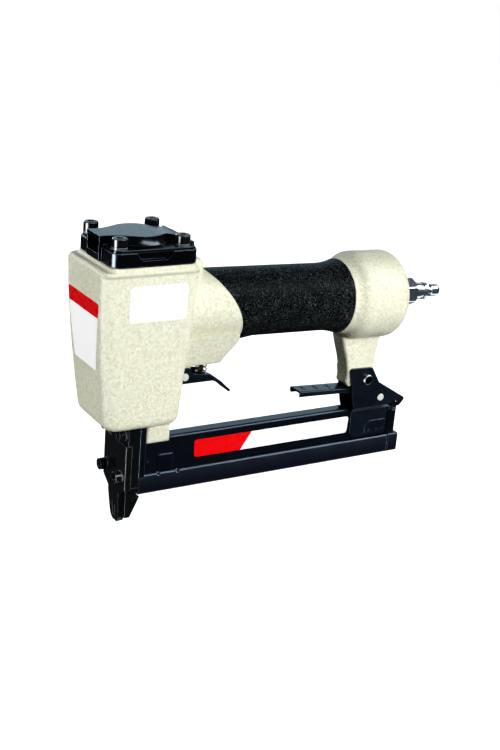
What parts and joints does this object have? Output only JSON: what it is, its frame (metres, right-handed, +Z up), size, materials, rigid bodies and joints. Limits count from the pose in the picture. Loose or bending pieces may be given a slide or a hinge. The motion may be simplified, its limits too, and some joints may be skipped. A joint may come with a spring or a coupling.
{
  "type": "pneumatic stapler",
  "caption": "Hand-held pneumatic stapler: cast head and handle with a rubber grip, a trigger, a staple magazine with a pull-out slide and latch lever below, and a rear air plug.",
  "frame": {"origin": "on the driver's axis at the flat of the nose tip", "axes": "+X from the nose to the air plug, +Y to the tool's right, +Z up along the driver"},
  "size_m": [0.2522, 0.0554, 0.18],
  "materials": {
    "cream_paint": "fine wrinkle paint",
    "black_paint": "semi-gloss",
    "grip_rubber": "fine pebble grain",
    "seal_rubber": "smooth",
    "bumper_rubber": "smooth",
    "blued_sheet": "satin blue-black",
    "black_oxide": "black oxide",
    "bright_steel": "ground",
    "spring_steel": "drawn wire",
    "zinc": "bright zinc",
    "chrome_plug": "polished",
    "turned_aluminium": "turned",
    "valve_brass": "turned"
  },
  "bodies": {
    "frame": {"housing": "cream_paint", "grip_sleeve": "grip_rubber", "head_cap": "black_paint", "cap_gasket": "seal_rubber", "cap_screws": "black_oxide", "cap_washers": "black_oxide", "cylinder": "turned_aluminium", "cylinder_o_rings": "seal_rubber", "bumper": "bumper_rubber", "driver_guide": "black_oxide", "nose_plate": "black_oxide", "nose_screws": "black_oxide", "nose_washers": "black_oxide", "trigger_pin": "zinc", "valve_guide": "valve_brass", "fixed_magazine": "blued_sheet", "bracket_left": "blued_sheet", "bracket_right": "blued_sheet", "bracket_bolt": "zinc", "bracket_nut": "black_oxide", "lever_pin": "zinc", "air_plug": "chrome_plug", "trigger_spring": "spring_steel", "lever_spring": "spring_steel", "head_valve_spring": "spring_steel", "valve_spring": "spring_steel"},
    "head_valve": {"head_valve": "turned_aluminium"},
    "driver": {"piston": "turned_aluminium", "piston_o_ring": "seal_rubber", "driver_blade": "bright_steel", "driver_pin": "bright_steel"},
    "trigger": {"trigger": "blued_sheet"},
    "valve_stem": {"valve_stem": "valve_brass"},
    "slide": {"magazine_slide": "blued_sheet", "staple_rail": "bright_steel", "slide_end_clip": "blued_sheet", "catch_plate": "blued_sheet", "catch_pin": "bright_steel", "pusher_spring": "spring_steel"},
    "pusher": {"pusher": "bright_steel"},
    "latch_lever": {"latch_lever": "blued_sheet"}
  },
  "joints": [
    {"name": "trigger_pull", "type": "hinge", "parent": "frame", "child": "trigger", "pos_m": [0.0332, 0, 0.0897], "axis": [0, -1, 0], "range_deg": [0, 12], "stiffness_Nm_per_rad": 0.35, "springref_deg": -17.19, "deforming": ["trigger_spring"]},
    {"name": "valve_lift", "type": "slide", "parent": "frame", "child": "valve_stem", "axis": [0, 0, 1], "range_m": [0, 0.0034], "deforming": ["valve_spring"]},
    {"name": "driver_stroke", "type": "slide", "parent": "frame", "child": "driver", "axis": [0, 0, -1], "range_m": [0, 0.0504]},
    {"name": "head_valve_lift", "type": "slide", "parent": "frame", "child": "head_valve", "axis": [0, 0, 1], "range_m": [0, 0.0025], "stiffness_N_per_m": 1500, "springref_m": -0.004, "deforming": ["head_valve_spring"]},
    {"name": "slide_pull", "type": "slide", "parent": "frame", "child": "slide", "axis": [1, 0, 0], "range_m": [0, 0.11]},
    {"name": "pusher_travel", "type": "slide", "parent": "slide", "child": "pusher", "axis": [1, 0, 0], "range_m": [0, 0.1], "stiffness_N_per_m": 25, "springref_m": -0.2, "deforming": ["pusher_spring"]},
    {"name": "latch_swing", "type": "hinge", "parent": "frame", "child": "latch_lever", "pos_m": [0.1795, 0, 0.0588], "axis": [0, -1, 0], "range_deg": [0, 10], "stiffness_Nm_per_rad": 0.6, "springref_deg": -22.92}
  ],
  "couplings": [
    {"joint": "valve_lift", "follows": "trigger_pull", "m_per_rad": 0.0142}
  ]
}
